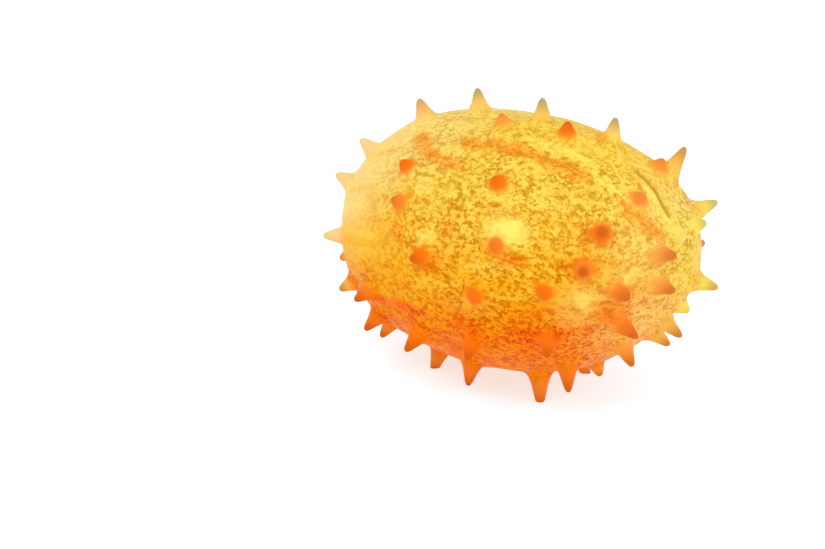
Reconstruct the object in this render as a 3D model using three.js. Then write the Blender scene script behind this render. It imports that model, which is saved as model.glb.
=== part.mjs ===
// A whole ripe horned melon (kiwano), lying on its side on the tips of four of its horns.
// It grew as one piece, so it is one closed solid. Units are millimetres, and +Z is up.
// The long axis runs along X: the blossom end is at +X, tilted slightly up, and the stem end at -X.
// The origin is on the surface the fruit rests on, under the middle of its bounding box.

import * as THREE from 'three';
import { ConvexGeometry } from 'three/addons/geometries/ConvexGeometry.js';
import { mergeVertices } from 'three/addons/utils/BufferGeometryUtils.js';

// Body: an ellipsoid of revolution
const HALF_LENGTH = 53.4;
const HALF_WIDTH = 34.2;
const AXIS_TILT = 5.5; // degrees that the blossom end is raised
const CENTRE_HEIGHT = 38.3; // the body's middle, above the surface it rests on

// Broad unevenness of the body: [along, turn, height, radius], a low mound or, below zero, a flat
const MOUNDS = [
  [30, 188, -2.4, 14], [116, 358, 1.3, 20], [126, 14, 1.1, 13], [72, 262, 0.9, 20],
  [110, 290, -0.8, 18],
];

// Horns: a flared cone with a blunt point, on a low swelling of the skin
const FOOT_RADIUS = 3.8; // of a horn of no height
const FOOT_GROWTH = 0.15; // added to the foot's radius for each millimetre of the horn's height
const FLARE = 4;
const POINT_RADIUS = 1.5;
const BLUNTNESS = 3; // 1 is a sharp point, and more is a blunter one
const SWELL_HEIGHT = 0.8;
const SWELL_RADIUS = 7.5;

// Scars: the dried button where the stalk was cut, and the mark left by the flower
const STALK_RADIUS = 3.6;
const STALK_HEIGHT = 1.8;
const BLOSSOM_RADIUS = 2.4;
const BLOSSOM_DEPTH = 0.5;

const SKIN = { color: 0xeba532, roughness: 0.45, metalness: 0 };

// Spacing of the mesh
const SKIN_SPACING = 4.2; // between points of the plain skin
const HOOP_SPACING = (SKIN_SPACING * Math.sqrt(3)) / 2; // between hoops of those points
const CLEAR_OF_RINGS = 2.7; // plain skin keeps this far from a horn's or scar's own points
const NEARER_THAN_OTHERS = 1.05; // a ring point is dropped if another horn is about as near
const WELD_DISTANCE = 1e-4;
const HORN_RINGS = [
  { share: 0, count: 1 },
  { share: 0.16, count: 6 },
  { share: 0.32, count: 8 },
  { share: 0.58, count: 8 },
  { share: 1, count: 10 },
];
const SCAR_RINGS = [
  { share: 0, count: 1 },
  { share: 0.75, count: 8 },
  { share: 1.15, count: 10 },
];

// Each horn is [along, turn, height, lean]. along is the angle in degrees from the blossom end, seen
// from the middle of the fruit. turn is the angle about the long axis: 0 is the top, and 90 is the
// front, -Y. lean is the angle in degrees that it leans towards the blossom end.
const HORNS = [
  // over the top
  [15, 336, 4, 0], [38, 334, 7.8, -16], [40, 346, 3, 0], [56, 354, 6.2, -12], [76, 5, 6.5, 0],
  [99, 1, 5.8, 4], [115, 9, 5.4, 5], [66, 9, 3.6, 0], [85, 14, 3, 0], [131, 28, 5, 0],
  // the front, from the top down
  [15, 25, 2.8, 0], [34, 26, 2.6, 0], [75, 47, 2.8, 0], [107, 44, 2.8, 0], [147, 40, 4.5, 0],
  [20, 65, 6.2, 14], [41, 60, 5.5, 0], [105, 61, 3.2, 0], [45, 82, 5, 0], [71, 74, 2.6, 0],
  [95, 83, 4, 0], [137, 82, 6, -4],
  [19, 104, 5.5, 10], [34, 98, 5.5, 12], [57, 94, 2, 0], [78, 97, 2, 0], [121, 108, 5.5, 5],
  [37, 126, 7, 24], [60, 122, 6, 6], [84, 123, 6, 10], [104, 126, 6, -4], [125, 130, 6, 4],
  [142, 123, 4.5, 0],
  // the underside
  [27, 166, 7, 8], [42, 151, 6.4, 5], [62, 150, 7, 0], [94, 149, 6, 8], [131, 155, 6, 0],
  [151, 160, 5, 5], [22, 190, 2.8, 0], [38, 182, 5.5, 20], [65, 183, 4, 0], [95, 181, 2.6, 0],
  [133, 183, 5.5, 8], [163, 140, 4, 0], [166, 180, 4.5, 0],
  // the back, from the bottom up
  [18, 227, 5.8, 0], [53, 222, 5, 0], [64, 218, 6.5, -4], [96, 216, 6.5, 5], [132, 214, 6, 0],
  [150, 208, 5.5, 6], [48, 243, 5, -8], [80, 238, 6.5, 14], [114, 236, 6.5, -8], [146, 240, 5.5, 0],
  [43, 263, 4.1, 0], [60, 258, 6, -10], [51, 284, 4, -8], [76, 268, 6, 0], [98, 258, 6.5, 8],
  [129, 258, 6, 4], [163, 262, 5, 0], [31, 299, 6.2, 0], [60, 299, 4.5, 0], [86, 286, 6, -6],
  [110, 280, 6.5, 10], [142, 280, 6, 0], [158, 316, 5, 0], [74, 298, 5, 0], [98, 304, 6.5, 0],
  [124, 304, 6, 12], [142, 326, 5.5, -5],
];

// The four horns that the fruit stands on are stout, and their points are worn off level.
const REST_HORNS = [
  [77, 164, 9.8, 0], [78, 197, 10, 0], [113, 164, 7.8, 0], [115, 197, 8.2, 0],
];

function direction(along, turn) {
  const a = THREE.MathUtils.degToRad(along);
  const t = THREE.MathUtils.degToRad(turn);
  return new THREE.Vector3(Math.cos(a), -Math.sin(a) * Math.sin(t), Math.sin(a) * Math.cos(t));
}

// The body is a unit sphere scaled by its three half sizes.
const HALF_SIZES = new THREE.Vector3(HALF_LENGTH, HALF_WIDTH, HALF_WIDTH);
const bodyPoint = (dir) => dir.clone().multiply(HALF_SIZES);
const bodyNormal = (dir) => dir.clone().divide(HALF_SIZES).normalize();
const directionOf = (point) => point.clone().divide(HALF_SIZES).normalize();

function makeHorn([along, turn, height, lean]) {
  const dir = direction(along, turn);
  const centre = bodyPoint(dir);
  const axis = bodyNormal(dir);
  const towardsBlossom = new THREE.Vector3(1, 0, 0).projectOnPlane(axis).normalize();
  axis.addScaledVector(towardsBlossom, Math.tan(THREE.MathUtils.degToRad(lean))).normalize();
  return { centre, axis, height, foot: FOOT_RADIUS + FOOT_GROWTH * height };
}

const horns = [...HORNS, ...REST_HORNS].map(makeHorn);
const mounds = MOUNDS.map(([along, turn, height, radius]) => (
  { centre: bodyPoint(direction(along, turn)), height, radius }
));

// A scar at one end of the body: end is 1 at the blossom and -1 at the stalk.
function makeScar(end, foot) {
  return { centre: new THREE.Vector3(end * HALF_LENGTH, 0, 0), axis: new THREE.Vector3(end, 0, 0), foot };
}

const stalk = makeScar(-1, STALK_RADIUS);
const blossom = makeScar(1, BLOSSOM_RADIUS);

// A distance from a horn's axis that hardly counts within the blunt point
function bluntedDistance(distance) {
  const reach = distance ** BLUNTNESS + POINT_RADIUS ** BLUNTNESS;
  return reach ** (1 / BLUNTNESS) - POINT_RADIUS;
}

// How far a horn stands out of the body at a distance from its axis
function hornProfile(distance, horn) {
  const inward = Math.max(0, 1 - bluntedDistance(distance) / bluntedDistance(horn.foot));
  return horn.height * inward ** FLARE;
}

// The skin's point in a direction: the body, pushed out by its swellings, scars and horns
function skinPoint(dir) {
  const base = bodyPoint(dir);
  const point = base.clone();
  let swell = 0;
  for (const { centre, height, radius } of mounds) {
    swell += height * Math.exp(-((base.distanceTo(centre) / radius) ** 2));
  }
  for (const horn of horns) {
    const distance = base.distanceTo(horn.centre);
    swell += SWELL_HEIGHT * Math.exp(-((distance / SWELL_RADIUS) ** 2));
    point.addScaledVector(horn.axis, hornProfile(distance, horn));
  }
  if (base.distanceTo(stalk.centre) < STALK_RADIUS) swell += STALK_HEIGHT;
  if (base.distanceTo(blossom.centre) < BLOSSOM_RADIUS) swell -= BLOSSOM_DEPTH;
  return point.addScaledVector(bodyNormal(dir), swell);
}

// Rings of directions round a horn or scar, left out where another horn is nearer
function ringDirections(feature, rings) {
  const hint = new THREE.Vector3(0, 0, 1);
  if (Math.abs(feature.axis.z) > Math.SQRT1_2) hint.set(0, 1, 0);
  const across = hint.cross(feature.axis).normalize();
  const along = new THREE.Vector3().crossVectors(feature.axis, across);
  const list = [];
  const others = horns.filter((horn) => horn !== feature);
  for (const [ring, { share, count }] of rings.entries()) {
    const radius = share * feature.foot;
    for (let i = 0; i < count; i += 1) {
      const angle = (2 * Math.PI * (i + ring / 2)) / count; // half a step on from the ring inside
      const point = feature.centre.clone();
      point.addScaledVector(across, radius * Math.cos(angle));
      point.addScaledVector(along, radius * Math.sin(angle));
      const nearest = Math.min(...others.map((horn) => horn.centre.distanceTo(point)));
      if (nearest > NEARER_THAN_OTHERS * radius) list.push(directionOf(point));
    }
  }
  return list;
}

// Evenly spaced directions over the whole body, in hoops from end to end. Each hoop is turned on from
// the last, so that its points fall between theirs.
function plainDirections() {
  const list = [];
  let along = 0;
  while (along < 180) {
    const a = THREE.MathUtils.degToRad(along);
    const count = Math.max(1, Math.round((2 * Math.PI * HALF_WIDTH * Math.sin(a)) / SKIN_SPACING));
    for (let i = 0; i < count; i += 1) list.push(direction(along, (360 * i) / count + along));
    const radius = Math.hypot(HALF_LENGTH * Math.sin(a), HALF_WIDTH * Math.cos(a));
    along += THREE.MathUtils.radToDeg(HOOP_SPACING / radius);
  }
  return list;
}

function skinDirections() {
  const kept = [
    ...horns.flatMap((horn) => ringDirections(horn, HORN_RINGS)),
    ...ringDirections(stalk, SCAR_RINGS),
    ...ringDirections(blossom, SCAR_RINGS),
  ];
  const points = kept.map(bodyPoint);
  const plain = plainDirections().filter((dir) => {
    const point = bodyPoint(dir);
    return points.every((other) => other.distanceTo(point) > CLEAR_OF_RINGS);
  });
  return [...kept, ...plain];
}

// Directions on a unit sphere are joined up by their convex hull, then moved out to the skin.
function fruitGeometry() {
  const geometry = new ConvexGeometry(skinDirections());
  geometry.deleteAttribute('normal');
  const position = geometry.getAttribute('position');
  const dir = new THREE.Vector3();
  for (let i = 0; i < position.count; i += 1) {
    const point = skinPoint(dir.fromBufferAttribute(position, i).normalize());
    position.setXYZ(i, point.x, point.y, point.z);
  }
  return geometry;
}

// Tilts the fruit and sets it down, and wears off whatever would be below the surface it rests on.
function setDown(geometry) {
  geometry.rotateY(-THREE.MathUtils.degToRad(AXIS_TILT));
  geometry.translate(0, 0, CENTRE_HEIGHT);
  const position = geometry.getAttribute('position');
  for (let i = 0; i < position.count; i += 1) position.setZ(i, Math.max(0, position.getZ(i)));
}

function centreOverOrigin(geometry) {
  geometry.computeBoundingBox();
  const middle = geometry.boundingBox.getCenter(new THREE.Vector3());
  geometry.translate(-middle.x, -middle.y, 0);
}

function hornedMelon() {
  const geometry = fruitGeometry();
  setDown(geometry);
  centreOverOrigin(geometry);
  const closed = mergeVertices(geometry, WELD_DISTANCE);
  closed.computeVertexNormals();
  const mesh = new THREE.Mesh(closed, new THREE.MeshStandardMaterial(SKIN));
  mesh.name = 'horned_melon';
  return mesh;
}

const group = new THREE.Group();
group.add(hornedMelon());

export default group;
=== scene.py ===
"""The horned melon as it looks: one detailed skin in the place of the plain CAD solid, on a pale floor.

The tables are in millimetres and degrees, as in the CAD source. Objects are in metres.
"""

import math

import bpy
import numpy as np
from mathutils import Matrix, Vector, noise


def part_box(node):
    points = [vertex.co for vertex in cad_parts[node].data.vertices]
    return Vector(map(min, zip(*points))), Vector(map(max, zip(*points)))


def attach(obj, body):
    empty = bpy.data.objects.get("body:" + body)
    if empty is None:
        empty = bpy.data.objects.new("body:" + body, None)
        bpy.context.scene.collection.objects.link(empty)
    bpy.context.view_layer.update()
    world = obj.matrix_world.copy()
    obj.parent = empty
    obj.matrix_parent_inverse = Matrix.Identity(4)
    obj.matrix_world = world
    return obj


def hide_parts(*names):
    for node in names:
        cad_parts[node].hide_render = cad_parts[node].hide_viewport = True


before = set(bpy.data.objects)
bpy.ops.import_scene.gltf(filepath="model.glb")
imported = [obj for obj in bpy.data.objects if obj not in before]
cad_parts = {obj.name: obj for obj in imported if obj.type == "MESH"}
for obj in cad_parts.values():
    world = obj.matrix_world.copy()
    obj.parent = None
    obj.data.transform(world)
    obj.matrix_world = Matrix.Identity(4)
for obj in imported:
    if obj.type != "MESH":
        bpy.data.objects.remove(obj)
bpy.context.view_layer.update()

MM = 0.001


def colour(red, green, blue):
    """A display colour of 0 to 255 as the linear one that nodes take."""
    def linear(value):
        value /= 255
        return value / 12.92 if value <= 0.04045 else ((value + 0.055) / 1.055) ** 2.4
    return (linear(red), linear(green), linear(blue), 1.0)


# Body: an ellipsoid of revolution along X, with its blossom end at +X raised
HALF_SIZES = np.array([53.4, 34.2, 34.2])
AXIS_TILT = 5.5
CENTRE_HEIGHT = 38.3

# Broad unevenness of the body: [along, turn, height, radius], a low mound or, below zero, a flat
MOUNDS = [
    [30, 188, -2.4, 14], [116, 358, 1.3, 20], [126, 14, 1.1, 13], [72, 262, 0.9, 20],
    [110, 290, -0.8, 18],
]

# Horns: a flared cone with a blunt point, on a low swelling of the skin
FOOT_RADIUS = 3.8
FOOT_GROWTH = 0.15
FLARE = 4
POINT_RADIUS = 1.5
BLUNTNESS = 3
SWELL_HEIGHT = 0.8
SWELL_RADIUS = 7.5

# Scars at the two ends, each with how soft its edge is
STEM_POLE = [-HALF_SIZES[0], 0, 0]
STALK_RADIUS = 3.6
STALK_EDGE = 0.3
STALK_HEIGHT = 1.8
FIBRE_SIZE = 1.0
FIBRE_DEPTH = 0.5  # as a share of the stalk's height
COLLAR_WIDTH = 1.4
COLLAR_EDGE = 0.9
BLOSSOM_POLE = [HALF_SIZES[0], 0, 0]
BLOSSOM_RADIUS = 2.4
BLOSSOM_EDGE = 0.4
BLOSSOM_DEPTH = 0.5

# Each horn is [along, turn, height, lean, blush]. along is the angle in degrees from the blossom end,
# seen from the middle of the fruit. turn is the angle about the long axis: 0 is the top, and 90 is the
# front, -Y. lean is the angle in degrees that it leans towards the blossom end. blush is how ripe it
# is, from 0 for a pale horn with a greyish tip to 1 for an orange one with a darker orange tip.
HORNS = [
    # over the top
    [15, 336, 4, 0, 0], [38, 334, 7.8, -16, 0.35], [40, 346, 3, 0, 0.8], [56, 354, 6.2, -12, 0],
    [76, 5, 6.5, 0, 0.1], [99, 1, 5.8, 4, 0.1], [115, 9, 5.4, 5, 0.3], [66, 9, 3.6, 0, 1],
    [85, 14, 3, 0, 0.65], [131, 28, 5, 0, 0.1],
    # the front, from the top down
    [15, 25, 2.8, 0, 0], [34, 26, 2.6, 0, 0.9], [75, 47, 2.8, 0, 1], [107, 44, 2.8, 0, 1],
    [147, 40, 4.5, 0, 0.1], [20, 65, 6.2, 14, 0.75], [41, 60, 5.5, 0, 1], [105, 61, 3.2, 0, 0.85],
    [45, 82, 5, 0, 0.85], [71, 74, 2.6, 0, 0.9], [95, 83, 4, 0, 1],
    [137, 82, 6, -4, 0.1], [19, 104, 5.5, 10, 0.8], [34, 98, 5.5, 12, 1],
    [57, 94, 2, 0, 1], [78, 97, 2, 0, 1], [121, 108, 5.5, 5, 0.9], [37, 126, 7, 24, 1],
    [60, 122, 6, 6, 1], [84, 123, 6, 10, 1], [104, 126, 6, -4, 1], [125, 130, 6, 4, 0.9],
    [142, 123, 4.5, 0, 0.3],
    # the underside
    [27, 166, 7, 8, 0.35], [42, 151, 6.4, 5, 0.7], [62, 150, 7, 0, 0.9], [94, 149, 6, 8, 0.9],
    [131, 155, 6, 0, 0.8], [151, 160, 5, 5, 0.7], [22, 190, 2.8, 0, 0], [38, 182, 5.5, 20, 0.35],
    [65, 183, 4, 0, 0.7], [95, 181, 2.6, 0, 0.8], [133, 183, 5.5, 8, 0.8], [163, 140, 4, 0, 0.6],
    [166, 180, 4.5, 0, 0.7],
    # the back, from the bottom up
    [18, 227, 5.8, 0, 0], [53, 222, 5, 0, 0.7], [64, 218, 6.5, -4, 0.8], [96, 216, 6.5, 5, 0.9],
    [132, 214, 6, 0, 0.6], [150, 208, 5.5, 6, 0.7], [48, 243, 5, -8, 0.6], [80, 238, 6.5, 14, 0.9],
    [114, 236, 6.5, -8, 0.8], [146, 240, 5.5, 0, 0.7], [43, 263, 4.1, 0, 0.6], [60, 258, 6, -10, 0.9],
    [51, 284, 4, -8, 0.6], [76, 268, 6, 0, 0.9], [98, 258, 6.5, 8, 0.9], [129, 258, 6, 4, 0.6],
    [163, 262, 5, 0, 0.5], [31, 299, 6.2, 0, 0], [60, 299, 4.5, 0, 0.5], [86, 286, 6, -6, 0.8],
    [110, 280, 6.5, 10, 0.7], [142, 280, 6, 0, 0.6], [158, 316, 5, 0, 0.1], [74, 298, 5, 0, 0.5],
    [98, 304, 6.5, 0, 0.5], [124, 304, 6, 12, 0.4], [142, 326, 5.5, -5, 0.2],
    # the four that the fruit stands on
    [77, 164, 9.8, 0, 0.8], [78, 197, 10, 0, 0.8], [113, 164, 7.8, 0, 0.8], [115, 197, 8.2, 0, 0.8],
]

# Marks on the skin. A streak is [along, turn, along, turn, width, strength], from end to end.
ORANGE_STREAKS = [
    [91, 28, 76, 27, 2.5, 0.8], [76, 27, 54, 30, 2.2, 0.8], [110, 25, 102, 36, 2.3, 0.9],
    [102, 36, 90, 42, 1.8, 0.8], [36, 37, 22, 44, 2.2, 0.8], [60, 352, 58, 360, 1.8, 0.8],
]
PALE_STREAKS = [
    [50, 26, 33, 32, 1.3, 0.7], [34, 12, 24, 20, 1.4, 0.6], [72, 21, 52, 20, 1.6, 0.6],
]
GROOVES = [
    [41, 5, 32, 6, 0.6, 0.9], [32, 6, 22, 15, 0.6, 0.9],
]
GROOVE_DEPTH = 0.35
STREAK_STEPS = 24

# A patch is [along, turn, half length, half width, strength].
# The first pale patch is paler skin and partly a painted highlight.
PALE_AND_HIGHLIGHT_PATCHES = [
    [69, 67, 6.6, 3.8, 1.0], [46, 100, 3, 2.8, 0.6], [98, 52, 3, 2.4, 0.6], [94, 75, 3.4, 2.0, 0.7],
    [30, 87, 3.4, 1.8, 0.6], [95, 60, 6, 4, 0.22], [80, 102, 7, 3.4, 0.16],
]
PEACH_PATCHES = [
    [48, 106, 5.5, 6.5, 0.8], [72, 60, 5, 1.4, 0.6], [26, 96, 4, 3, 0.6],
]
FLUSHED_PATCHES = [
    [105, 74, 3.4, 3.2, 0.45], [87, 70, 3, 2, 0.5], [42, 62, 4.4, 3.4, 0.55], [46, 81, 4, 2.4, 0.8],
    [38, 114, 4.8, 3.2, 0.8], [93, 84, 5.5, 3.4, 0.7], [66, 80, 4.2, 2.2, 0.8],
    [60, 103, 4.6, 2.4, 0.5], [33, 99, 3.6, 2.8, 0.3],
]
# The red patches along the lower front are deeper orange skin and partly painted shade with painted
# orange reflection.
RED_AND_SHADED_PATCHES = [
    [118, 112, 7, 2.2, 0.7], [62, 121, 8, 2.8, 0.95], [84, 113, 5, 2.4, 0.8],
    [104, 110, 7, 1.8, 0.8], [48, 122, 4, 1.8, 0.5],
]
RAGGED_SIZE = 1.8  # the unevenness of the edges of patches and streaks
RAGGED_REACH = 1.5
HALO_RADIUS = 2.7  # of the orange round a ripe horn

# Mesh
GRID_CELLS = 128  # along each edge of the cube that the ball of points is made from
WELD_DECIMALS = 9  # points on the cube's edges are the same when they agree this far
GATHER = 0.62  # how strongly the points crowd towards a horn's tip

# Relief of the skin. The mottle is fine raised marks, and the grain is faint streaks from end to end.
DENT_SIZE = 7.0
DENT_DEPTH = 0.25
MARK_SIZE = 1.1
MARK_DEPTH = 0.09
MARK_BEND = 0.7
MARK_SQUEEZE = (0.8, 1.15, 1.15)  # the marks are longer along the fruit than round it
MARK_CONTRAST = 1.7
WIDE_MARKS = 2.5  # times as large as the others
WIDE_CONTRAST = 0.6
GRAIN_SIZE = 3.2
GRAIN_STRETCH = 0.16  # the grain is this many times as fine along the fruit as round it
GRAIN_SHIFT = 0.05  # how far the grain moves the rind's colours up or down

# Seeds of the noises, and how far apart in the noise one seed's part is from the next
DENT_SEED = 2
BEND_SEEDS = (11, 12, 13)
MARK_SEED = 14
WIDE_SEED = 15
GRAIN_SEED = 21
AREA_SEED = 22
RAGGED_SEEDS = (31, 32, 33)
FIBRE_SEED = 41
SEED_STEP = np.array([1, 2, 3])

# Zones of the rind: the angles between which each comes in or dies away. First, angles from the top.
TOP = (5, 30)
SIDES = (25, 85)
STEM_END_DOWN_TO = (62, 95)
STEM_SIDE_DOWN_TO = (80, 105)
UNDERSIDE = (80, 115)
# Then angles from the blossom end, and OFF_ENDS from the nearer end
OFF_ENDS = (0, 40)
POLE = (8, 34)
POLE_SHORTER = 10  # on the underside
BLOSSOM_END = (17, 50)
BLOSSOM_END_LONGER = (8, 14)  # on the underside
BLOSSOM_TOP_LOSS = 0.6  # how much of blossom_top, which pales the ripe horns, the underside loses
STEM_HALF = (75, 100)
STEM_END = (78, 116)
STEM_END_SHORTER = 32  # on the sides
STEM_SIDE = (100, 130)

# How strongly the fine marks show: unevenly, in areas of this size, and less where something calms them
MARKED_AREAS = 9.0
MARKED_EDGES = (-0.4, 0.25)
MARKED_LEAST = 0.75
CALMED_BY = {
    "pale": 0.8, "peach": 0.2, "flush": 0.3, "streak": 0.4, "halo": 0.6,
    "blossom_end": 0.1, "stem_side": 0.75, "top": 0.35, "stem_half": 0.1,
}
HORN_UNMARKED = (0.01, 0.6)  # the marks fade out between these shares of a horn
TALL_HORN = (2, 5)  # the tip's own colour is at half strength below the first height, full at the other

# Colours that follow the way down, from 0 at the top of the fruit to 1 at its underside: the rind's own
# yellow to orange, paler at the top partly from painted light and deeper orange below partly from
# painted shade
RIND_AND_LIGHT_COLOURS = [
    (0.00, colour(244, 206, 72)), (0.26, colour(247, 203, 70)), (0.34, colour(250, 188, 48)),
    (0.42, colour(250, 184, 36)), (0.50, colour(250, 182, 24)), (0.58, colour(252, 166, 10)),
    (0.66, colour(252, 122, 0)), (1.00, colour(252, 134, 4)),
]
WANDER_SIZE = 11  # of the areas in which they wander up or down
WANDER = 0.16  # from the highest to the lowest
# In these, the change starts at the first place and ends at the second, from an upper to a lower colour.
# The pale and dark colours of the marks turn deeper orange below, partly as painted shade.
# The blossom end's pale peach is partly painted light, and its still paler colour underneath is painted
# light against the shade there.
BLOSSOM_RIND_AND_LIGHT = (0.55, 0.75, colour(253, 208, 112), colour(255, 220, 126))
PALE_RIND = (0.36, 0.60, colour(255, 230, 104), colour(254, 168, 20))
MARK_SHADE = (0.38, 0.60, colour(208, 176, 96), colour(214, 158, 84))
BLOSSOM_STRENGTH = 0.95  # how strongly BLOSSOM_RIND_AND_LIGHT covers the blossom end

# Layers of colour over the rind, in their order. Each is [share, strength, colour]. The stem end's pale
# cream is partly painted rim light.
END_LAYERS = [
    ["stem_end", 0.85, colour(252, 218, 134)], ["pole", 0.85, colour(243, 217, 88)],
]
PATCH_LAYERS = [
    ["peach", 1, colour(248, 186, 78)], ["flush", 1, colour(246, 128, 6)],
    ["red", 1, colour(252, 96, 0)], ["streak", 1, colour(244, 154, 36)],
    ["pale", 1, colour(254, 236, 110)],
]
GROOVE_LAYERS = [["groove", 1, colour(178, 148, 40)]]
COLLAR_LAYERS = [["collar", 0.7, colour(214, 186, 92)]]
WOOD_DARK = colour(112, 80, 44)
WOOD_LIGHT = colour(184, 148, 92)
WOOD_SIZE = 0.9
WOOD_EDGES = (0.3, 0.7)

# Horns: a colour, and the layers over it. The paler layers at the blossom end and on the stem side are
# partly painted light.
RIPE_HORN = (colour(243, 118, 16), [["blossom_top", 1, colour(240, 142, 58)]])
RIPE_TIP = (colour(210, 96, 14), [["blossom_top", 1, colour(214, 120, 54)]])
PLAIN_HORN = (colour(248, 208, 104), [
    ["blossom_end", 1, colour(242, 222, 100)], ["stem_side", 1, colour(252, 216, 150)],
])
PLAIN_TIP = (colour(186, 160, 102), [
    ["blossom_end", 1, colour(198, 186, 104)], ["stem_side", 1, colour(240, 208, 140)],
])
LOW_PLAIN_TIP = (0.50, 0.66, colour(212, 146, 60))  # where it changes on the way down, and to what
HALO_STRENGTH = 0.8
HORN_EDGES = (0.02, 0.5)  # the shares of a horn between which its colour comes in
TIP_EDGES = (0.3, 1.0)
RIPE_TIP_BLUSH = (0.15, 0.55)  # how ripe a horn is when its tip changes to the ripe one

# Patterns in the rind's colour. A pair is the values of a noise or share between which each comes in.
BLOTCH_SIZE = 3.2
BLOTCH_EDGES = (0.42, 0.7)
BLOTCH_STRENGTH = 0.35
GRAIN_COLOUR = colour(248, 172, 40)
GRAIN_EDGES = (0.55, 0.8)
GRAIN_STRENGTH = 0.4
PALE_GRAIN_EDGES = (0.45, 0.2)
PALE_GRAIN_STRENGTH = 0.3
FINE_SIZE = 0.8
LINE_SIZE = 1.5  # thin dark lines, round cells of this size
LINE_BEND = 0.8
LINE_EDGES = (0.07, 0)  # how far their noise is from its middle where a line starts and is full
LINE_STRENGTH = 0.5
DARKEST_MOTTLE = 0.3
DARK_TONES = (0.75, 0.12)
LIGHT_TONES = (0.5, 1)
LIGHT_STRENGTH = 0.4

# Gloss, pits and the light that passes through the skin. "Subsurface Scale" is in metres.
PIT_SIZE = 0.7
PIT_DEPTH = 0.1
PIT_ROUGHNESS = 0.6  # of the noise that makes them
SHEEN_SIZE = 3
SHEEN_EDGES = (0.3, 0.7)
ROUGHNESS = (0.36, 0.5)
GLOSS = {
    "Subsurface Weight": 0.1,
    "Subsurface Radius": (1.0, 0.45, 0.12),
    "Subsurface Scale": 0.0015,
    "Specular IOR Level": 0.04,
    "Specular Tint": (1.0, 0.7, 0.3, 1.0),
}

# Floor and surroundings, in metres. A pair is first as it lights the fruit, then as the camera sees it.
FLOOR_SIZE = 6.0
FLOOR_LIT = (0.58, 0.6, 0.62, 1)
FLOOR_SEEN = (0.42, 0.68, 0.85, 1)  # cool, so that light from the orange rind doesn't tint the shadow
FLOOR_GLOW = (1.0, 0.95, 0.93, 1)
FLOOR_GLOWS = (0.47, 0.63)
WORLD_GLOWS = (0.8, 1.0)

# Each lamp is [name, azimuth, elevation, distance, size, power], in degrees, metres and watts.
LAMPS = [
    ["key", -10, 55, 0.9, 0.6, 2.0],
    ["fill", 95, 20, 1.0, 0.8, 2.0],
]

# Camera, in degrees and metres, with its lens in millimetres
CAMERA_AZIMUTH = 37.9
CAMERA_ELEVATION = 20.0
CAMERA_LENS = 85
CAMERA_DISTANCE = 0.523
LOOK_RIGHT = -0.0284  # how far the picture's middle is from the fruit's
LOOK_UP = -0.0094


# ---------------------------------------------------------------- the skin's shape, in millimetres

def unit(vectors):
    return vectors / np.linalg.norm(vectors, axis=-1, keepdims=True)


def direction(along, turn):
    a, t = np.radians(along), np.radians(turn)
    return np.stack([np.cos(a), -np.sin(a) * np.sin(t), np.sin(a) * np.cos(t)], axis=-1)


def body_point(along, turn):
    return direction(along, turn) * HALF_SIZES


def body_normal(base):
    return unit(base / HALF_SIZES ** 2)


def away_from(base, centre):
    return np.linalg.norm(base - centre, axis=1)


def step_between(low, high, value):
    """0 below low, 1 above high, and smooth between."""
    share = np.clip((value - low) / (high - low), 0, 1)
    return share * share * (3 - 2 * share)


def blunted(distance):
    """A distance from a horn's axis that hardly counts within the blunt point."""
    return (distance ** BLUNTNESS + POINT_RADIUS ** BLUNTNESS) ** (1 / BLUNTNESS) - POINT_RADIUS


class Horn:
    """One horn: its place on the body, which way it points, its size and how ripe it is."""

    def __init__(self, along, turn, height, lean, blush):
        self.centre = body_point(along, turn)
        normal = body_normal(self.centre)
        blossom_way = np.array([1.0, 0, 0])
        tangent = unit(blossom_way - normal * (blossom_way @ normal))
        self.axis = unit(normal + math.tan(math.radians(lean)) * tangent)
        self.height = height
        self.foot = FOOT_RADIUS + FOOT_GROWTH * height
        self.blush = blush

    def share(self, base):
        """1 at the horn's point, falling to 0 at its foot."""
        inward = 1 - blunted(away_from(base, self.centre)) / blunted(self.foot)
        return np.maximum(0, inward) ** FLARE


def ball_grid(cells):
    """Directions spread evenly over a ball, and the four-sided faces that join them."""
    steps = np.tan(np.linspace(-1, 1, cells + 1) * math.pi / 4)
    u, v = (grid.ravel() for grid in np.meshgrid(steps, steps, indexing="ij"))
    corner = np.add.outer(np.arange(cells) * (cells + 1), np.arange(cells)).ravel()
    square = np.stack([corner, corner + cells + 1, corner + cells + 2, corner + 1], axis=1)
    points, faces = [], []
    for axis in range(3):
        for side in (1, -1):
            cube_side = np.stack([np.full_like(u, side), side * u, v], axis=1)
            faces.append(square + len(u) * len(points))
            points.append(np.roll(cube_side, axis, axis=1))
    rounded = np.round(np.concatenate(points), WELD_DECIMALS)
    points, place = np.unique(rounded, axis=0, return_inverse=True)
    return unit(points), place.ravel()[np.concatenate(faces)]


def gathered(base, horns):
    """The body's points, drawn in round each horn so that its tip is finely divided."""
    for horn in horns:
        distance = away_from(base, horn.centre)
        near = distance < horn.foot
        pull = GATHER * (1 - distance[near] / horn.foot) ** 2
        base[near] -= (base[near] - horn.centre) * pull[:, None]
    return unit(base / HALF_SIZES) * HALF_SIZES


def noise_at(points, size, seed):
    """Smooth noise from -1 to 1, with features of about this size."""
    places = points / size + SEED_STEP * seed
    return np.array([noise.noise(place) for place in places.tolist()])


def mottling(base):
    """The rind's fine marks, from -1 in the darkest to 1 in the palest."""
    squeezed = base * MARK_SQUEEZE
    bend = np.stack([noise_at(squeezed, MARK_SIZE, seed) for seed in BEND_SEEDS], axis=1)
    marks = noise_at(squeezed + MARK_BEND * bend, MARK_SIZE, MARK_SEED)
    wide = noise_at(squeezed, WIDE_MARKS * MARK_SIZE, WIDE_SEED)
    return np.tanh(MARK_CONTRAST * marks + WIDE_CONTRAST * wide)


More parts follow.
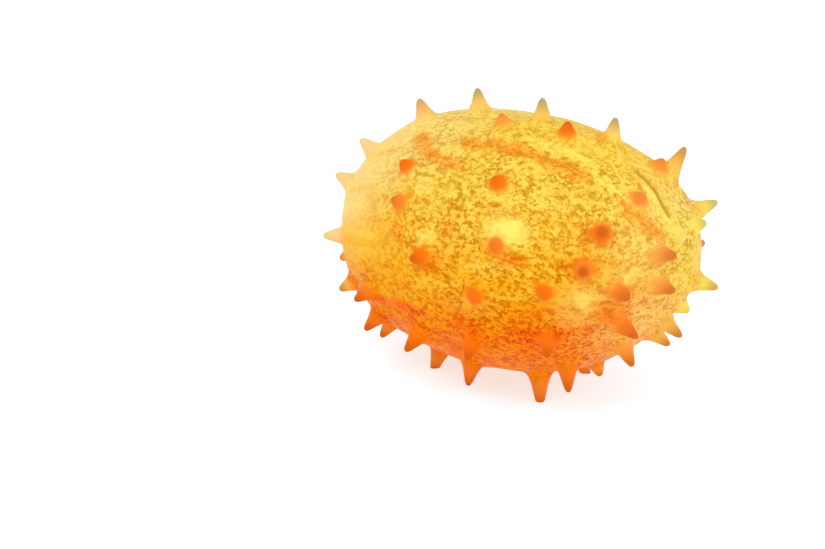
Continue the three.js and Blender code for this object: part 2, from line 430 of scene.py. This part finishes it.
def grain_field(base):
    """Faint streaks that run from end to end, from -1 to 1."""
    turn = np.arctan2(base[:, 1], base[:, 2])
    around = HALF_SIZES[1] * np.stack([np.sin(turn), np.cos(turn)], axis=1)
    return noise_at(np.column_stack([base[:, 0] * GRAIN_STRETCH, around]), GRAIN_SIZE, GRAIN_SEED)


def ragged(base):
    """Points moved a little to and fro, so that what is drawn at them gets uneven edges."""
    shift = [noise_at(base, RAGGED_SIZE, seed) for seed in RAGGED_SEEDS]
    return base + RAGGED_REACH * np.stack(shift, axis=1)


def patch_field(base, patches):
    """How strongly each point is covered by the patches, from 0 to 1."""
    bare = np.ones(len(base))
    for along, turn, length, width, strength in patches:
        centre = body_point(along, turn)
        normal = body_normal(centre)
        across = unit(np.cross(normal, [1.0, 0, 0]))
        lengthwise = np.cross(across, normal)
        offset = base - centre
        reach = ((offset @ lengthwise) / length) ** 2 + ((offset @ across) / width) ** 2
        reach += ((offset @ normal) / max(length, width)) ** 2
        bare *= 1 - strength * np.exp(-reach ** 2)
    return 1 - bare


def streak_field(base, streaks):
    """How strongly each point is covered by the streaks, from 0 to 1."""
    bare = np.ones(len(base))
    for along, turn, last_along, last_turn, width, strength in streaks:
        alongs = np.linspace(along, last_along, STREAK_STEPS)
        turns = np.linspace(turn, last_turn, STREAK_STEPS)
        gap = np.min([away_from(base, point) for point in body_point(alongs, turns)], axis=0)
        bare *= 1 - strength * np.exp(-(gap / width) ** 4)
    return 1 - bare


def scar(base, centre, radius, edge):
    """1 within this radius of a place on the skin, 0 outside it, and smooth between."""
    return 1 - step_between(radius - edge, radius + edge, away_from(base, centre))


def angles(base):
    """Each point's angle from the blossom end, its angle from the top, and 0 at the ends to 1 off them.

    The angle from the top means nothing at an end, so it eases to 90 there.
    """
    ball = unit(base / HALF_SIZES)
    along = np.degrees(np.arccos(ball[:, 0].clip(-1, 1)))
    off_ends = step_between(*OFF_ENDS, np.minimum(along, 180 - along))
    from_top = np.degrees(np.arctan2(np.abs(ball[:, 1]), ball[:, 2]))
    return along, 90 + (from_top - 90) * off_ends, off_ends


def zone_shares(along, from_top):
    """How far each point is in each zone of the rind, from 0 to 1."""
    underside = step_between(*UNDERSIDE, from_top)
    start = BLOSSOM_END[0] + BLOSSOM_END_LONGER[0] * underside
    end = BLOSSOM_END[1] + BLOSSOM_END_LONGER[1] * underside
    blossom_end = 1 - step_between(start, end, along)
    pole = 1 - step_between(POLE[0], POLE[1] - POLE_SHORTER * underside, along)
    shorter = STEM_END_SHORTER * step_between(*SIDES, from_top)
    stem_end = step_between(STEM_END[0] + shorter, STEM_END[1] + shorter, along)
    stem_side = step_between(*STEM_SIDE, along)
    return {
        "blossom_end": blossom_end,
        "blossom_top": blossom_end * (1 - BLOSSOM_TOP_LOSS * underside),
        "pole": pole,
        "stem_end": stem_end * (1 - step_between(*STEM_END_DOWN_TO, from_top)),
        "stem_side": stem_side * (1 - step_between(*STEM_SIDE_DOWN_TO, from_top)),
    }


def patch_shares(edges):
    """How strongly each kind of patch or streak covers each point, from 0 to 1."""
    return {
        "pale": np.maximum(patch_field(edges, PALE_AND_HIGHLIGHT_PATCHES), streak_field(edges, PALE_STREAKS)),
        "peach": patch_field(edges, PEACH_PATCHES),
        "flush": patch_field(edges, FLUSHED_PATCHES),
        "red": patch_field(edges, RED_AND_SHADED_PATCHES),
        "streak": streak_field(edges, ORANGE_STREAKS),
    }


def horn_shares(base, edges, horns):
    """How far up a horn each point is, how ripe that horn is, and the halos round the ripe ones."""
    shares = {name: np.zeros(len(base)) for name in ("horn", "blush", "halo", "tip")}
    for horn in horns:
        share = horn.share(base)
        tip_strength = 0.5 + 0.5 * step_between(*TALL_HORN, horn.height)
        ring = np.exp(-(away_from(edges, horn.centre) / HALO_RADIUS) ** 4)
        shares["blush"] = np.where(share > shares["horn"], horn.blush, shares["blush"])
        shares["horn"] = np.maximum(shares["horn"], share)
        shares["tip"] = np.maximum(shares["tip"], share * tip_strength)
        shares["halo"] = np.maximum(shares["halo"], horn.blush * ring)
    return shares


def marked_share(base, along, from_top, shares):
    """How strongly the fine marks show at each point, from 0 to 1."""
    uneven = step_between(*MARKED_EDGES, noise_at(base, MARKED_AREAS, AREA_SEED))
    marked = MARKED_LEAST + (1 - MARKED_LEAST) * uneven
    calmers = {
        **shares,
        "top": 1 - step_between(*TOP, from_top),
        "stem_half": step_between(*STEM_HALF, along),
    }
    for name, strength in CALMED_BY.items():
        marked *= 1 - strength * calmers[name]
    return marked * (1 - step_between(*HORN_UNMARKED, shares["horn"]))


def horn_push(base, horns):
    """How far, and which way, the horns move each point."""
    push = np.zeros_like(base)
    for horn in horns:
        push += horn.height * horn.share(base)[:, None] * horn.axis
    return push


def swelling(base, horns):
    """How far the broad mounds and the low swellings under the horns stand out."""
    swell = np.zeros(len(base))
    for along, turn, height, radius in MOUNDS:
        swell += height * np.exp(-(away_from(base, body_point(along, turn)) / radius) ** 2)
    for horn in horns:
        swell += SWELL_HEIGHT * np.exp(-(away_from(base, horn.centre) / SWELL_RADIUS) ** 2)
    return swell


def fine_relief(base, mottle, shares):
    """How far the scars, dents, raised marks and grooves stand out."""
    stalk = shares["woody"]
    fibres = 1 + FIBRE_DEPTH * noise_at(base, FIBRE_SIZE, FIBRE_SEED)
    relief = STALK_HEIGHT * stalk * fibres
    relief -= BLOSSOM_DEPTH * scar(base, BLOSSOM_POLE, BLOSSOM_RADIUS, BLOSSOM_EDGE)
    relief += DENT_DEPTH * noise_at(base, DENT_SIZE, DENT_SEED)
    relief += MARK_DEPTH * mottle * shares["marked"] * (1 - stalk)
    return relief - GROOVE_DEPTH * shares["groove"]


def skin_shape():
    """The skin's points and faces, and the named shares that its material reads."""
    horns = [Horn(*row) for row in HORNS]
    directions, faces = ball_grid(GRID_CELLS)
    base = gathered(directions * HALF_SIZES, horns)
    edges = ragged(base)
    along, from_top, off_ends = angles(base)
    mottle = mottling(base)
    grain = grain_field(base) * off_ends
    shares = {
        **zone_shares(along, from_top),
        **patch_shares(edges),
        **horn_shares(base, edges, horns),
        "groove": streak_field(base, GROOVES),
        "collar": scar(edges, STEM_POLE, STALK_RADIUS + COLLAR_WIDTH, COLLAR_EDGE),
        "woody": scar(edges, STEM_POLE, STALK_RADIUS, STALK_EDGE),
        "down": from_top / 180 + GRAIN_SHIFT * grain,
        "grain": 0.5 + 0.5 * grain,
        "mottle": 0.5 + 0.5 * mottle,
    }
    shares["marked"] = marked_share(base, along, from_top, shares)
    swell = swelling(base, horns) + fine_relief(base, mottle, shares)
    points = base + horn_push(base, horns) + body_normal(base) * swell[:, None]
    return points, faces, shares


def stood_on_the_floor(points):
    """Tilted, set down on worn horn tips, centred as the CAD is, and in metres."""
    tilt = math.radians(AXIS_TILT)
    x = points[:, 0] * math.cos(tilt) - points[:, 2] * math.sin(tilt)
    z = points[:, 0] * math.sin(tilt) + points[:, 2] * math.cos(tilt)
    placed = np.stack([x, points[:, 1], np.maximum(0, z + CENTRE_HEIGHT)], axis=1) * MM
    low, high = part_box("horned_melon")
    middle = (placed.min(axis=0) + placed.max(axis=0)) / 2
    placed[:, 0] += (low.x + high.x) / 2 - middle[0]
    placed[:, 1] += (low.y + high.y) / 2 - middle[1]
    return placed


def in_scene(name, data):
    made = bpy.data.objects.new(name, data)
    bpy.context.scene.collection.objects.link(made)
    return made


def mesh_object(name, points, faces, shares):
    mesh = bpy.data.meshes.new(name)
    mesh.from_pydata(points.tolist(), [], faces.tolist())
    mesh.shade_smooth()
    for share_name, values in shares.items():
        attribute = mesh.attributes.new(share_name, "FLOAT", "POINT")
        attribute.data.foreach_set("value", values.astype(np.float32))
    return in_scene(name, mesh)


# ---------------------------------------------------------------- materials

class Paint:
    """Short calls that build one material's nodes."""

    MIX_INPUTS = (0, 6, 7)  # a mix node's share and its two colours, among its inputs of every type
    MIX_RESULT = 2

    def __init__(self, name):
        self.material = bpy.data.materials.new(name)
        self.material.use_nodes = True
        self.tree = self.material.node_tree
        self.tree.nodes.clear()

    def join(self, value, socket):
        if isinstance(value, bpy.types.NodeSocket):
            self.tree.links.new(value, socket)
        else:
            socket.default_value = value

    def node(self, kind, inputs=None, **settings):
        made = self.tree.nodes.new(kind)
        for name, value in settings.items():
            setattr(made, name, value)
        for name, value in (inputs or {}).items():
            self.join(value, made.inputs[name])
        return made

    def share(self, name):
        return self.node("ShaderNodeAttribute", attribute_name=name).outputs["Fac"]

    def math(self, operation, first, second=0.0):
        made = self.node("ShaderNodeMath", operation=operation)
        self.join(first, made.inputs[0])
        self.join(second, made.inputs[1])
        return made.outputs[0]

    def between(self, low, high, value, start=0.0, end=1.0):
        """start below low, end above high, and smooth between."""
        limits = {"Value": value, "From Min": low, "From Max": high, "To Min": start, "To Max": end}
        return self.node("ShaderNodeMapRange", limits, interpolation_type="SMOOTHSTEP").outputs[0]

    def ramp(self, value, stops):
        """Colours that follow a value from 0 to 1. Each stop is a place and a colour."""
        made = self.node("ShaderNodeValToRGB", {"Fac": value})
        elements = made.color_ramp.elements
        while len(elements) < len(stops):
            elements.new(0.5)
        for element, (place, shade) in zip(elements, stops):
            element.position = place
            element.color = shade
        return made.outputs["Color"]

    def mix(self, share, first, second, blend="MIX"):
        made = self.node("ShaderNodeMix", data_type="RGBA", blend_type=blend)
        for value, index in zip((share, first, second), self.MIX_INPUTS):
            self.join(value, made.inputs[index])
        return made.outputs[self.MIX_RESULT]

    def by_height(self, start, end, upper, lower):
        """The upper colour above start and the lower one below end, by the way down."""
        return self.mix(self.between(start, end, self.share("down")), upper, lower)

    def layers(self, under, rows):
        """Colours laid over the one under them. Each row is a share's name, a strength and a colour."""
        for name, strength, shade in rows:
            under = self.mix(self.math("MULTIPLY", self.share(name), strength), under, shade)
        return under

    def place(self, squeeze=(1.0, 1.0, 1.0)):
        here = self.node("ShaderNodeTexCoord").outputs["Object"]
        squeezed = self.node("ShaderNodeVectorMath", operation="MULTIPLY")
        self.join(here, squeezed.inputs[0])
        self.join(squeeze, squeezed.inputs[1])
        return squeezed.outputs[0]

    def noise(self, size, detail=2.0, roughness=0.5, distortion=0.0, squeeze=(1.0, 1.0, 1.0)):
        """Noise with features of this many millimetres."""
        inputs = {
            "Vector": self.place(squeeze), "Scale": 1 / (size * MM), "Detail": detail,
            "Roughness": roughness, "Distortion": distortion,
        }
        return self.node("ShaderNodeTexNoise", inputs).outputs["Fac"]

    def bump(self, height, depth):
        inputs = {"Height": height, "Distance": depth * MM, "Strength": 1.0}
        return self.node("ShaderNodeBump", inputs).outputs["Normal"]

    def finish(self, inputs):
        shader = self.node("ShaderNodeBsdfPrincipled", inputs)
        self.node("ShaderNodeOutputMaterial", {"Surface": shader.outputs[0]})
        return self.material


def broad_colours(paint):
    """The rind's colour before its patches and marks: yellow above and orange below, with paler ends,
    all partly painted light and shade.
    """
    wander = paint.math("MULTIPLY", paint.math("SUBTRACT", paint.noise(WANDER_SIZE), 0.5), WANDER)
    rind = paint.ramp(paint.math("ADD", paint.share("down"), wander), RIND_AND_LIGHT_COLOURS)
    blossom_end = paint.math("MULTIPLY", paint.share("blossom_end"), BLOSSOM_STRENGTH)
    rind = paint.mix(blossom_end, rind, paint.by_height(*BLOSSOM_RIND_AND_LIGHT))
    rind = paint.layers(rind, END_LAYERS)
    pale_rind = paint.by_height(*PALE_RIND)
    blotch = paint.between(*BLOTCH_EDGES, paint.noise(BLOTCH_SIZE), 0, BLOTCH_STRENGTH)
    rind = paint.mix(paint.math("MULTIPLY", blotch, paint.share("marked")), rind, pale_rind)
    grain = paint.share("grain")
    rind = paint.mix(paint.between(*GRAIN_EDGES, grain, 0, GRAIN_STRENGTH), rind, GRAIN_COLOUR)
    return paint.mix(paint.between(*PALE_GRAIN_EDGES, grain, 0, PALE_GRAIN_STRENGTH), rind, pale_rind)


def with_marks(paint, rind):
    """The rind with its fine dark and light marks. All but the thin lines follow its relief."""
    mottle = paint.between(0, 1, paint.share("mottle"), DARKEST_MOTTLE, 1)
    fine = paint.math("SUBTRACT", paint.noise(FINE_SIZE), 0.5)
    cells = paint.noise(LINE_SIZE, detail=1, distortion=LINE_BEND, squeeze=MARK_SQUEEZE)
    off_line = paint.math("ABSOLUTE", paint.math("SUBTRACT", cells, 0.5))
    lines = paint.between(*LINE_EDGES, off_line, 0, LINE_STRENGTH)
    tone = paint.math("SUBTRACT", paint.math("ADD", mottle, fine), lines)
    marked = paint.share("marked")
    dark = paint.math("MULTIPLY", paint.between(*DARK_TONES, tone), marked)
    rind = paint.mix(dark, rind, paint.by_height(*MARK_SHADE), "MULTIPLY")
    light = paint.math("MULTIPLY", paint.between(*LIGHT_TONES, tone, 0, LIGHT_STRENGTH), marked)
    return paint.mix(light, rind, paint.by_height(*PALE_RIND))


def with_horns(paint, rind):
    """The rind with the colours of its horns and their tips, and the halos round the ripe ones."""
    ripe = paint.layers(*RIPE_HORN)
    rind = paint.mix(paint.math("MULTIPLY", paint.share("halo"), HALO_STRENGTH), rind, ripe)
    blush = paint.share("blush")
    horn = paint.mix(blush, paint.layers(*PLAIN_HORN), ripe)
    rind = paint.mix(paint.between(*HORN_EDGES, paint.share("horn")), rind, horn)
    start, end, low_colour = LOW_PLAIN_TIP
    plain_tip = paint.by_height(start, end, paint.layers(*PLAIN_TIP), low_colour)
    tip = paint.mix(paint.between(*RIPE_TIP_BLUSH, blush), plain_tip, paint.layers(*RIPE_TIP))
    return paint.mix(paint.between(*TIP_EDGES, paint.share("tip")), rind, tip)


def with_stalk(paint, rind):
    """The rind with the woody scar of the stalk and the dull collar round it."""
    wood = paint.mix(paint.between(*WOOD_EDGES, paint.noise(WOOD_SIZE)), WOOD_DARK, WOOD_LIGHT)
    return paint.mix(paint.share("woody"), paint.layers(rind, COLLAR_LAYERS), wood)


def rind_material():
    paint = Paint("rind")
    rind = paint.layers(broad_colours(paint), PATCH_LAYERS)
    rind = paint.layers(with_marks(paint, rind), GROOVE_LAYERS)
    rind = with_stalk(paint, with_horns(paint, rind))
    return paint.finish({
        "Base Color": rind,
        "Roughness": paint.between(*SHEEN_EDGES, paint.noise(SHEEN_SIZE), *ROUGHNESS),
        "Normal": paint.bump(paint.noise(PIT_SIZE, roughness=PIT_ROUGHNESS), PIT_DEPTH),
        **GLOSS,
    })


def fruit():
    points, faces, shares = skin_shape()
    made = mesh_object("horned_melon_skin", stood_on_the_floor(points), faces, shares)
    made.data.materials.append(rind_material())
    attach(made, "root")
    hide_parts("horned_melon")


# ---------------------------------------------------------------- stage, lights and camera

def floor_material():
    """A faintly glowing white, and a brighter one to the camera, so that only shadows show on it."""
    paint = Paint("floor")
    path = paint.node("ShaderNodeLightPath")
    seen = paint.math("MAXIMUM", path.outputs["Is Camera Ray"], path.outputs["Is Glossy Ray"])
    seen = paint.math("MAXIMUM", seen, path.outputs["Is Transmission Ray"])
    matte = paint.node("ShaderNodeBsdfDiffuse", {"Color": paint.mix(seen, FLOOR_LIT, FLOOR_SEEN)})
    strength = paint.between(0, 1, seen, *FLOOR_GLOWS)
    glow = paint.node("ShaderNodeEmission", {"Color": FLOOR_GLOW, "Strength": strength})
    both = paint.node("ShaderNodeAddShader")
    paint.join(matte.outputs[0], both.inputs[0])
    paint.join(glow.outputs[0], both.inputs[1])
    paint.node("ShaderNodeOutputMaterial", {"Surface": both.outputs[0]})
    return paint.material


def floor():
    half = FLOOR_SIZE / 2
    corners = [(-half, -half, 0), (half, -half, 0), (half, half, 0), (-half, half, 0)]
    mesh = bpy.data.meshes.new("floor")
    mesh.from_pydata(corners, [], [(0, 1, 2, 3)])
    mesh.materials.append(floor_material())
    made = in_scene("floor", mesh)


def surroundings():
    """An even studio: the world is white to the camera, and lights the object a little less."""
    world = bpy.data.worlds.new("studio")
    world.use_nodes = True
    bpy.context.scene.world = world
    tree = world.node_tree
    background = tree.nodes["Background"]
    path = tree.nodes.new("ShaderNodeLightPath")
    seen = tree.nodes.new("ShaderNodeMath")
    seen.operation = "MAXIMUM"
    tree.links.new(path.outputs["Is Camera Ray"], seen.inputs[0])
    tree.links.new(path.outputs["Is Glossy Ray"], seen.inputs[1])
    level = tree.nodes.new("ShaderNodeMapRange")
    level.inputs["To Min"].default_value, level.inputs["To Max"].default_value = WORLD_GLOWS
    tree.links.new(seen.outputs[0], level.inputs["Value"])
    tree.links.new(level.outputs[0], background.inputs["Strength"])
    background.inputs["Color"].default_value = (1, 1, 1, 1)


def view_back(azimuth, elevation):
    """The way from the object to a camera at this azimuth and elevation."""
    a, e = math.radians(azimuth), math.radians(elevation)
    return Vector((math.sin(a) * math.cos(e), -math.cos(a) * math.cos(e), math.sin(e)))


def put(made, place, turn):
    made.location = place
    made.rotation_mode = "QUATERNION"
    made.rotation_quaternion = turn


def lamps(middle):
    """Soft round lamps that aim at the middle of the fruit."""
    for name, azimuth, elevation, distance, size, power in LAMPS:
        lamp = bpy.data.lights.new(name, "AREA")
        lamp.shape = "DISK"
        lamp.size = size
        lamp.energy = power
        back = view_back(azimuth, elevation)
        put(in_scene(name, lamp), middle + back * distance, (-back).to_track_quat("-Z", "Y"))


def camera(middle):
    back = view_back(CAMERA_AZIMUTH, CAMERA_ELEVATION)
    turned = back.to_track_quat("Z", "Y")
    look = middle + turned @ Vector((LOOK_RIGHT, LOOK_UP, 0))
    made = in_scene("camera", bpy.data.cameras.new("camera"))
    made.data.lens = CAMERA_LENS
    put(made, look + back * CAMERA_DISTANCE, turned)
    bpy.context.scene.camera = made


fruit()
low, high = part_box("horned_melon")
middle = Vector(((low.x + high.x) / 2, (low.y + high.y) / 2, CENTRE_HEIGHT * MM))
floor()
surroundings()
lamps(middle)
camera(middle)
bpy.context.scene.view_settings.view_transform = "Standard"
